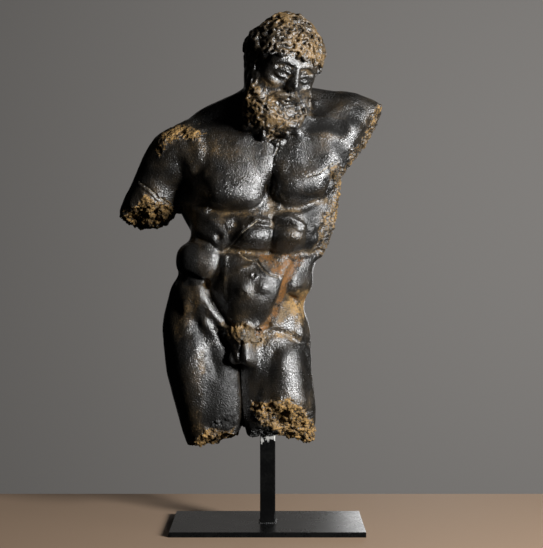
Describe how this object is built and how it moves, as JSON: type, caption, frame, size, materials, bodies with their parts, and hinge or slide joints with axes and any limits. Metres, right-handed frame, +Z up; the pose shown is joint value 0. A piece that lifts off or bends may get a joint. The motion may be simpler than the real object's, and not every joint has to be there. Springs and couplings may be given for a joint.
{
  "type": "hercules statue",
  "caption": "Cast fragment of a bearded nude classical hero, head turned and bowed, arms and legs broken away, held up by a square steel post on a flat steel plate.",
  "frame": {"origin": "middle of the plate's underside, on the surface the statue stands on", "axes": "+Z up along the post, the figure's chest faces -Y, +X to the right of someone facing the statue"},
  "size_m": [0.4189, 0.1999, 0.8059],
  "materials": {
    "dark_patina": "cast resin with a black-brown antique patina, worn to ochre and rust in the creases, hair and breaks",
    "black_steel": "gloss black paint on mild steel, worn at the top of the post"
  },
  "bodies": {
    "root": {"figure": "dark_patina", "post": "black_steel", "base_plate": "black_steel"}
  },
  "joints": []
}
